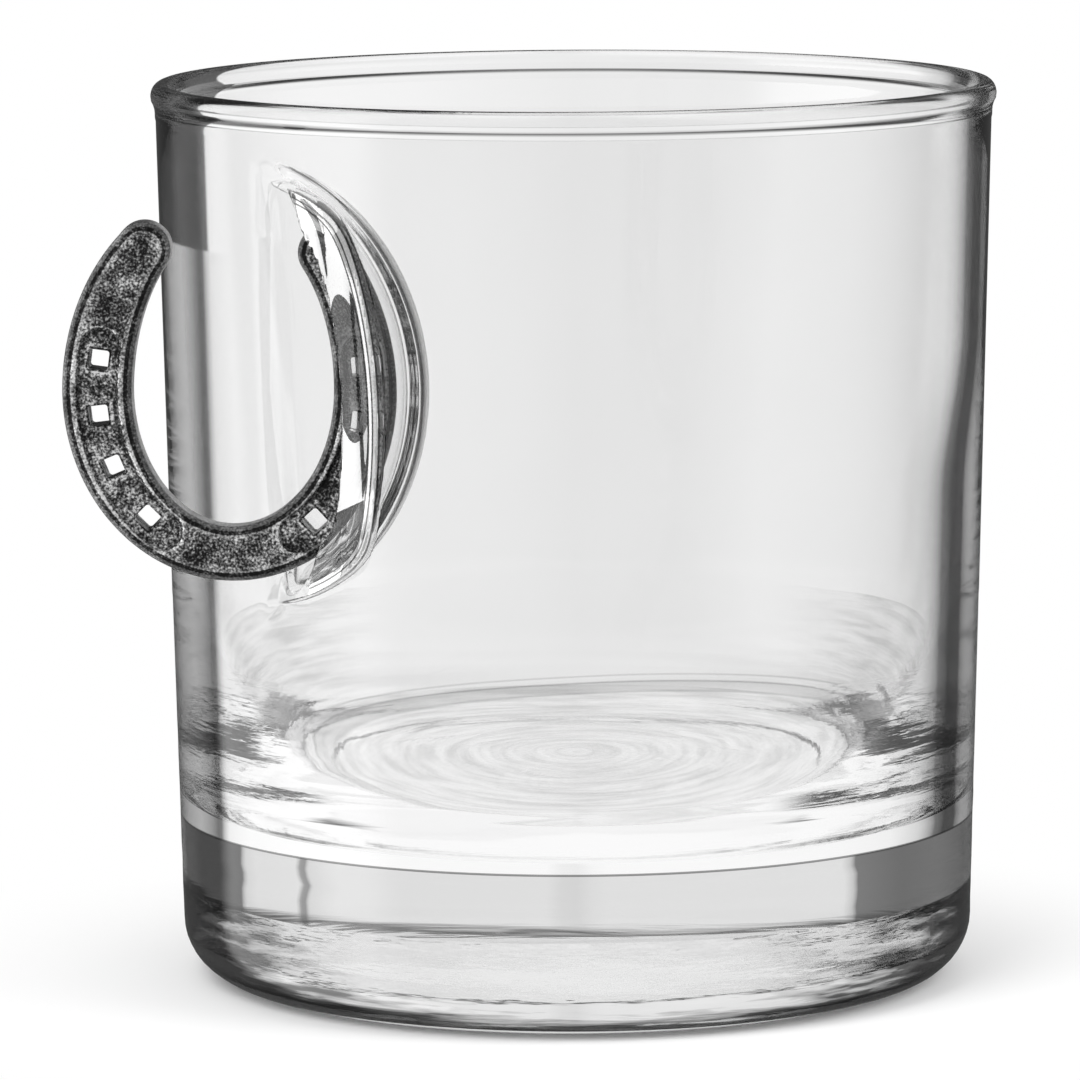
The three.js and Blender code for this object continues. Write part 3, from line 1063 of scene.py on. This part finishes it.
clear = {
    "ior": 1.5,
    "plain": 0.97,
    "middle": (-6.0, 6.0),
    "rightWall": ((0.0, 0.97), (0.4, 0.96), (0.5, 0.6), (0.54, 0.3), (0.58, 0.04), (0.63, 0.006), (0.7, 0.008),
                  (0.76, 0.22), (0.82, 0.28), (0.9, 0.12), (1.0, 0.2)),
    "leftWall": ((0.0, 0.97), (0.45, 0.96), (0.53, 0.75), (0.565, 0.04), (0.585, 0.04), (0.63, 0.17), (0.69, 0.33),
                 (0.8, 0.3), (0.9, 0.14), (1.0, 0.2)),
    "leftTop": ((0.0, 0.97), (0.5, 0.96), (0.53, 0.9), (0.54, 0.018), (0.7, 0.016), (0.76, 0.004), (0.9, 0.01),
                (1.0, 0.05)),
    "rightBase": ((0.0, 0.58), (0.28, 0.6), (0.3, 0.35), (0.312, 0.035), (0.45, 0.03), (0.6, 0.04), (0.8, 0.03),
                  (1.0, 0.1)),
    "leftBase": ((0.0, 0.58), (0.22, 0.56), (0.28, 0.4), (0.288, 0.05), (0.3, 0.06), (0.312, 0.5), (0.43, 0.5),
                 (0.465, 0.4), (0.485, 0.005), (0.7, 0.006), (0.85, 0.02), (1.0, 0.3)),
    "heel": ((0.0, 0.72), (0.33, 0.64), (0.37, 0.44), (0.456, 0.2), (0.53, 0.02), (0.6, 0.012), (0.68, 0.002),
             (1.0, 0.002)),
    "heelStreaks": 0.9,
    "flowLong": 105.0,
    "flowShort": 800.0,
    "flowDepth": 0.00006,
    "floorShade": ((0.0, 0.42), (0.35, 0.52), (0.5, 0.7), (0.62, 0.84), (1.0, 0.9)),
    "floorTop": 18.6,
    "sideTop": 33.0,
    "sideSpan": (20.0, 32.0),
    "bendSpan": (16.0, 21.0),
    "bendSlope": 0.05,
    "bend": ((0.0, 1.0), (0.26, 1.0), (0.3, 0.45), (0.34, 0.62), (0.52, 0.58), (0.56, 0.22), (0.6, 0.9), (0.7, 1.0),
             (0.74, 0.5), (0.78, 1.0), (1.0, 1.0)),
    "baseLine": 0.22,
    "baseLineDark": 0.9,
    "leftTopSpan": (74.0, 74.3),
    "rightHigh": (50.0, 66.0),
    "rightShift": -0.1,
    "baseTop": 16.4,
    "baseLow": 9.8,
    "beadLow": 85.8,
    "skin": 0.7,
    "steepTilt": 0.5,
    "underTilt": -0.9,
    "lipSpan": (-3.2, 1.8),
    "lipShine": ((0.0, 0.0), (0.1, 0.0), (0.13, 1.0), (0.635, 1.0), (0.645, 0.0), (0.665, 0.0), (0.675, 1.0),
                 (0.715, 1.0), (0.725, 0.0), (0.745, 0.0), (0.755, 1.0), (0.83, 1.0), (0.845, 0.0), (1.0, 0.0)),
    "lipDark": ((0.0, 1.0), (0.63, 1.0), (0.64, 0.05), (0.665, 0.05), (0.675, 1.0), (0.72, 1.0), (0.725, 0.1),
                (0.745, 0.1), (0.755, 1.0), (0.835, 1.0), (0.845, 0.05), (0.87, 0.05), (0.885, 1.0), (1.0, 1.0)),
    "lipCoat": 4.0,
    "lipRough": 0.02,
    "stripEdge": 0.05,
    "stripMiddle": 1.35,
    "wetMiddle": 2.55,
    "wetHalf": 7.05,
    "wetBow": 1.1,
    "wetEnd": -10.6,
    "wetSlant": -0.6,
    "swirlAcross": 1.3,
    "swirlAlong": 0.22,
    "swirl": ((0.0, 0.03), (0.4, 0.06), (0.47, 0.12), (0.5, 0.9), (0.53, 0.1), (0.6, 0.05), (0.66, 0.5), (0.7, 0.08),
              (1.0, 0.2)),
    "waveScale": 60.0,
    "waveDepth": 0.00003,
    "bondWaveScale": 400.0,
}


def waveGroup():
    # slow unevenness of pressed glass, shared by the glass and the bond
    tree = bpy.data.node_groups.new("glassWave", "ShaderNodeTree")
    addSockets(tree, "INPUT", ("Scale", "Float", clear["waveScale"]), ("Depth", "Float", clear["waveDepth"]))
    addSockets(tree, "OUTPUT", ("Shade", "Float"), ("Normal", "Vector"))
    given = addNode(tree, "NodeGroupInput").outputs
    place = addNode(tree, "ShaderNodeTexCoord").outputs["Object"]
    wave = noiseNode(tree, place, given["Scale"], 1.0)
    bump = addNode(tree, "ShaderNodeBump", {"Distance": given["Depth"], "Height": wave})
    shade = addNode(tree, "ShaderNodeMapRange", {"Value": wave, "To Min": clear["plain"], "To Max": 1.0})
    addNode(tree, "NodeGroupOutput", {"Shade": shade.outputs["Result"], "Normal": bump.outputs["Normal"]})
    return tree


waveTree = waveGroup()


def clearMaterial(name, waveScale):
    made, tree, surface = newMaterial(name)
    wave = addNode(tree, "ShaderNodeGroup", node_tree=waveTree)
    wave.inputs["Scale"].default_value = waveScale
    feed(tree, surface, {
        "Roughness": 0.0,
        "IOR": clear["ior"],
        "Transmission Weight": 1.0,
        "Base Color": wave.outputs["Shade"],
        "Normal": wave.outputs["Normal"],
    })
    return made, tree, surface, wave.outputs


def glassMaterial():
    made, tree, surface, wave = clearMaterial("clearGlass", clear["waveScale"])
    maths, mix, mark = partial(mathNode, tree), partial(mixNode, tree), partial(markNode, tree)
    place = addNode(tree, "ShaderNodeTexCoord").outputs["Object"]
    x, y, z = addNode(tree, "ShaderNodeSeparateXYZ", {0: place}).outputs

    def level(name, value):
        return greyRamp(tree, clear[name], value)

    def step(value, span):
        inputs = {"Value": value, "From Min": span[0] * mm, "From Max": span[1] * mm}
        return addNode(tree, "ShaderNodeMapRange", inputs, interpolation_type="SMOOTHSTEP").outputs["Result"]

    def above(name):
        return maths("GREATER_THAN", z, clear[name] * mm)

    # painted shade: the outer wall darkens as it turns away from the view, standing in for the dark edges of the
    # glass; the right side, the left side, its upper part and the base each have a ramp of their own
    facing = addNode(tree, "ShaderNodeLayerWeight").outputs["Facing"]
    onRight = step(x, clear["middle"])
    raised = step(z, clear["rightHigh"])
    right = level("rightWall", maths("MULTIPLY_ADD", raised, clear["rightShift"], facing))
    besideLip = maths("MULTIPLY", facing, maths("SUBTRACT", 1.0, mark("lipFlank")))
    left = mix(step(z, clear["leftTopSpan"]), level("leftWall", besideLip), level("leftTop", besideLip))
    wall = mix(onRight, left, right)
    base = mix(onRight, level("leftBase", facing), level("rightBase", facing))

    # flow lines of the pressing run round the foot and the floor as a bump; the same noise paints grey streaks of
    # shade into the heel and the floor
    radius = maths("SQRT", maths("MULTIPLY_ADD", y, y, maths("MULTIPLY", x, x)))
    around = addNode(tree, "ShaderNodeCombineXYZ", {
        0: maths("MULTIPLY", x, clear["flowLong"]),
        1: maths("MULTIPLY", y, clear["flowLong"]),
        2: maths("MULTIPLY", maths("ADD", z, radius), clear["flowShort"]),
    })
    flow = noiseNode(tree, around.outputs[0], 1.0, 3.0)
    # painted shade: the heel darkens as it turns away from the view, broken by the streaks
    heel = level("heel", maths("MULTIPLY_ADD", maths("ADD", flow, -0.5), clear["heelStreaks"], facing))

    taper = (wallRadius(tumbler["height"]) - wallRadius(0.0)) / tumbler["height"]
    wallLine = maths("MULTIPLY_ADD", z, taper, (wallRadius(0.0) - clear["skin"]) * mm)
    outer = maths("MAXIMUM", maths("GREATER_THAN", radius, wallLine), maths("LESS_THAN", z, tumbler["heel"] * mm))
    inner = maths("SUBTRACT", 1.0, outer)
    shape = addNode(tree, "ShaderNodeNewGeometry").outputs
    enters = maths("SUBTRACT", 1.0, shape["Backfacing"])
    tilt = addNode(tree, "ShaderNodeSeparateXYZ", {0: shape["Normal"]}).outputs["Z"]
    steep = maths("LESS_THAN", maths("ABSOLUTE", tilt), clear["steepTilt"])
    notUnder = maths("GREATER_THAN", tilt, clear["underTilt"])
    aboveFoot = above("baseLow")
    mask = maths("MULTIPLY", outer, mix(aboveFoot, notUnder, steep))
    mask = maths("MULTIPLY", maths("MAXIMUM", mask, above("beadLow")), enters)
    paintedShadeAndTone = mix(above("baseTop"), mix(aboveFoot, heel, base), wall)
    # painted shade: a thin dark line along the top of the base
    offLine = maths("ABSOLUTE", maths("ADD", z, -clear["baseTop"] * mm))
    onLine = maths("LESS_THAN", offLine, clear["baseLine"] / 2 * mm)
    paintedShadeAndTone = maths("MULTIPLY", paintedShadeAndTone, maths("MULTIPLY_ADD", onLine, -clear["baseLineDark"], 1.0))

    floor = maths("MULTIPLY", inner, maths("LESS_THAN", z, clear["floorTop"] * mm))
    sides = step(maths("ABSOLUTE", x), clear["sideSpan"])
    sides = maths("MULTIPLY", sides, maths("LESS_THAN", z, clear["sideTop"] * mm))
    inside = maths("MAXIMUM", floor, maths("MULTIPLY", inner, sides))
    # painted shade: grey streaks on the inner floor and the lower sides
    plain = mix(maths("MULTIPLY", inside, enters), clear["plain"], level("floorShade", flow))
    # painted shade: a slanting grey band is laid over the bend from floor to wall
    bendLow, bendTop = clear["bendSpan"]
    bendAt = maths("MULTIPLY_ADD", x, -clear["bendSlope"], z)
    bendAt = maths("MULTIPLY_ADD", bendAt, 1 / ((bendTop - bendLow) * mm), -bendLow / (bendTop - bendLow))
    plain = maths("MULTIPLY", plain, mix(maths("MULTIPLY", inner, enters), 1.0, level("bend", bendAt)))
    paintedShadeAndTone = mix(1.0, mix(mask, plain, paintedShadeAndTone), wave["Shade"], "MULTIPLY")
    bump = addNode(tree, "ShaderNodeBump", {
        "Strength": maths("MAXIMUM", inside, maths("SUBTRACT", 1.0, aboveFoot)),
        "Distance": clear["flowDepth"],
        "Height": flow,
        "Normal": wave["Normal"],
    })

    # painted reflection: a strong coat on stripes of the lip makes it mirror bright, apart from the stretches where
    # the bond wets it from behind
    inset, fade, height = mark("lipInset"), mark("lipFade"), mark("lipUp")
    first, last = clear["lipSpan"]
    lipAt = maths("MULTIPLY_ADD", inset, 1 / (last - first), -first / (last - first))
    across = maths("ADD", inset, clear["stripMiddle"])
    bow = maths("MULTIPLY", maths("MULTIPLY", across, across), clear["wetBow"])
    wet = maths("SUBTRACT", clear["wetHalf"], maths("ABSOLUTE", maths("ADD", height, -clear["wetMiddle"])))
    wet = maths("GREATER_THAN", maths("SUBTRACT", wet, bow), 0.0)
    lower = maths("LESS_THAN", maths("MULTIPLY_ADD", across, clear["wetSlant"], height), clear["wetEnd"])
    strip = maths("LESS_THAN", inset, clear["stripEdge"])
    dry = maths("SUBTRACT", 1.0, maths("MULTIPLY", maths("MAXIMUM", wet, lower), strip))
    shine = maths("MULTIPLY", maths("MULTIPLY", level("lipShine", lipAt), fade), maths("MULTIPLY", dry, enters))
    # painted shade: dark lines run along the crease between the coat's stripes, and at the lower end the strip is
    # darkened with swirl streaks where the bond and metal show through
    along = addNode(tree, "ShaderNodeCombineXYZ", {
        0: maths("MULTIPLY", inset, clear["swirlAcross"]), 1: maths("MULTIPLY", height, clear["swirlAlong"])})
    swirl = level("swirl", noiseNode(tree, along.outputs[0], 1.0, 1.0))
    lines = mix(maths("MULTIPLY", lower, strip), level("lipDark", lipAt), swirl)
    lines = mix(maths("MULTIPLY", fade, enters), 1.0, lines)
    feed(tree, surface, {
        "Base Color": mix(1.0, paintedShadeAndTone, lines, "MULTIPLY"),
        "Normal": bump.outputs["Normal"],
        "Coat Weight": shine,
        "Coat IOR": clear["lipCoat"],
        "Coat Roughness": clear["lipRough"],
    })
    return made


glassPiece = glassMesh()
glassPiece.data.materials.append(glassMaterial())
print("glass:", len(glassPiece.data.polygons), "faces")
shoePiece = shoeWithHoles(metalMaterial())
print("shoe:", len(shoePiece.data.polygons), "faces")
bondPiece = bondMesh()
bondPiece.data.materials.append(clearMaterial("clearBond", clear["bondWaveScale"])[0])
print("bond:", len(bondPiece.data.polygons), "faces")

for piece, node, slot in (
    (glassPiece, "glass_tumbler", "clear_glass"),
    (shoePiece, "horseshoe", "antiqued_metal"),
    (bondPiece, "clear_adhesive", "clear_bond"),
):
    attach(piece, "root")
    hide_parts(node)

# Camera: angles in radians, apart from the swing
shot = {
    "distance": 741.28,
    "height": 145.0,
    "swing": 2.0,
    "pitch": 0.1366,
    "yaw": -0.0047,
    "roll": -0.0045,
    "lens": 250.68,
    "sensor": 36.0,
}


def makeCamera():
    swing = Matrix.Rotation(math.radians(shot["swing"]), 3, "Z")
    cp, sp = math.cos(shot["pitch"]), math.sin(shot["pitch"])
    cy, sy = math.cos(shot["yaw"]), math.sin(shot["yaw"])
    cr, sr = math.cos(shot["roll"]), math.sin(shot["roll"])
    ahead = Vector((sy, cy * cp, -cy * sp))
    right = Vector((cy, -sy * cp, sy * sp))
    above = Vector((0, sp, cp))
    across, upward = right * cr + above * sr, above * cr - right * sr
    axes = Matrix((swing @ across, swing @ upward, swing @ -ahead)).transposed()
    data = bpy.data.cameras.new("photoCamera")
    data.lens = shot["lens"]
    data.sensor_width = shot["sensor"]
    data.clip_start, data.clip_end = 0.01, 20
    made = linkObject("photoCamera", data)
    place = swing @ Vector((0, -shot["distance"], shot["height"])) * mm
    made.matrix_world = Matrix.Translation(place) @ axes.to_4x4()
    bpy.context.scene.camera = made


makeCamera()

# Studio: white for the camera, bright all round through the glass, darker behind the glass for what it mirrors.
# Directions are in degrees, the rest in metres.
studio = {
    "evenLight": 0.8,
    "seenThrough": ((-180, 1.0), (-1.7, 1.0), (-0.9, 0.88), (1.1, 0.88), (2.2, 1.0), (180, 1.0)),
    "seenHigh": ((-90, 1.0), (12, 1.0), (24, 0.03), (90, 0.03)),
    "mirrored": ((-180, 1.0), (-105, 1.0), (-70, 0.08), (70, 0.08), (105, 1.0), (180, 1.0)),
    "boxes": ((-180, 0.0), (-130, 0.0), (-115, 1.0), (-62, 1.0), (-52, 0.0), (180, 0.0)),
    "boxesHigh": ((-90, 0.0), (-75, 0.0), (-60, 1.0), (40, 1.0), (55, 0.0), (90, 0.0)),
    "boxLevel": 1.6,
    "piped": ((-180, 0.5), (-120, 0.15), (-97, 0.05), (-50, 0.05), (-36, 1.0), (48, 1.0), (58, 0.05), (97, 0.05),
              (120, 0.15), (180, 0.5)),
    "pipedHigh": ((-90, 0.95), (-50, 0.95), (-35, 0.0), (25, 0.0), (50, 0.85), (90, 0.95)),
    "longPipe": 5.5,
    "longPipeLevel": 0.85,
    "viewTurn": -2.0,
    "bounces": 40,
    "floorRadius": 0.6,
    "floorDrop": 0.00005,
    "floorSides": 96,
    "floorGrey": 0.93,
    "floorFade": (0.03, 0.075),
    "lamps": (((-0.5, -0.7, 0.9), 0.8, 8.0), ((0.8, -0.3, 0.8), 0.7, 5.0)),
    "lampAim": (0, 0, 0.045),
}


def makeWorld():
    world = bpy.data.worlds.new("studio")
    bpy.context.scene.world = world
    world.use_nodes = True
    tree = world.node_tree
    maths, mix = partial(mathNode, tree), partial(mixNode, tree)
    place = addNode(tree, "ShaderNodeTexCoord").outputs["Generated"]
    x, y, z = addNode(tree, "ShaderNodeSeparateXYZ", {0: place}).outputs
    turned = maths("ADD", maths("ARCTAN2", x, y), -math.radians(studio["viewTurn"]))
    azimuth = maths("FRACT", maths("MULTIPLY_ADD", turned, 1 / (2 * math.pi), 0.5))
    height = maths("MULTIPLY_ADD", maths("ARCSINE", z), 1 / math.pi, 0.5)

    def around(name):
        return greyRamp(tree, [((angle + 180) / 360, level) for angle, level in studio[name]], azimuth, "EASE")

    def upDown(name):
        return greyRamp(tree, [((angle + 90) / 180, level) for angle, level in studio[name]], height)

    path = addNode(tree, "ShaderNodeLightPath").outputs
    few = maths("LESS_THAN", path["Glossy Depth"], studio["longPipe"])
    inside = mix(few, studio["longPipeLevel"], maths("MAXIMUM", around("piped"), upDown("pipedHigh")))
    straight = maths("MULTIPLY", around("seenThrough"), upDown("seenHigh"))
    inside = mix(maths("MINIMUM", path["Glossy Depth"], 1.0), straight, inside)
    box = maths("MULTIPLY", maths("MULTIPLY", around("boxes"), upDown("boxesHigh")), studio["boxLevel"])
    inGlass = maths("MINIMUM", path["Transmission Depth"], 1.0)
    panels = mix(inGlass, maths("ADD", around("mirrored"), box), inside)
    shiny = maths("MAXIMUM", path["Is Glossy Ray"], path["Is Transmission Ray"])
    shown = mix(path["Is Camera Ray"], mix(shiny, studio["evenLight"], panels), 1.0)
    feed(tree, tree.nodes["Background"], {"Color": shown})


def makeFloor():
    sides = studio["floorSides"]
    turn = np.linspace(0, 2 * math.pi, sides, endpoint=False)
    ring = np.stack([np.cos(turn), np.sin(turn), 0 * turn], -1) * studio["floorRadius"]
    mesh = bpy.data.meshes.new("floor")
    mesh.from_pydata((ring - [0, 0, studio["floorDrop"]]).tolist(), [], [tuple(range(sides))])
    floor = linkObject("floor", mesh)
    floor.visible_transmission = False
    floor.visible_glossy = False
    made, tree, surface = newMaterial("paleFloor")
    grey = studio["floorGrey"]
    feed(tree, surface, {"Base Color": (grey, grey, grey, 1), "Roughness": 1.0, "Specular IOR Level": 0.0})
    place = addNode(tree, "ShaderNodeTexCoord").outputs["Object"]
    away = addNode(tree, "ShaderNodeVectorMath", {0: place}, operation="LENGTH")
    near, far = studio["floorFade"]
    fade = addNode(tree, "ShaderNodeMapRange", {
        "Value": away.outputs["Value"], "From Min": near, "From Max": far}, interpolation_type="SMOOTHSTEP")
    white = addNode(tree, "ShaderNodeEmission")
    blend = addNode(tree, "ShaderNodeMixShader", {
        0: fade.outputs["Result"], 1: surface.outputs[0], 2: white.outputs[0]})
    feed(tree, tree.nodes["Material Output"], {"Surface": blend.outputs[0]})
    mesh.materials.append(made)


def makeLamps():
    for n, (place, width, power) in enumerate(studio["lamps"]):
        data = bpy.data.lights.new("softLamp%d" % n, "AREA")
        data.shape = "DISK"
        data.size = width
        data.energy = power
        lamp = linkObject("softLamp%d" % n, data)
        lamp.location = place
        lamp.rotation_euler = (Vector(studio["lampAim"]) - Vector(place)).to_track_quat("-Z", "Y").to_euler()
        lamp.visible_glossy = False
        lamp.visible_transmission = False


makeWorld()
makeFloor()
makeLamps()
bpy.context.scene.view_settings.view_transform = "Standard"
# light runs far round inside the glass wall before it leaves
for limit in ("max_bounces", "glossy_bounces", "transmission_bounces"):
    setattr(bpy.context.scene.cycles, limit, studio["bounces"])
print("studio ready")
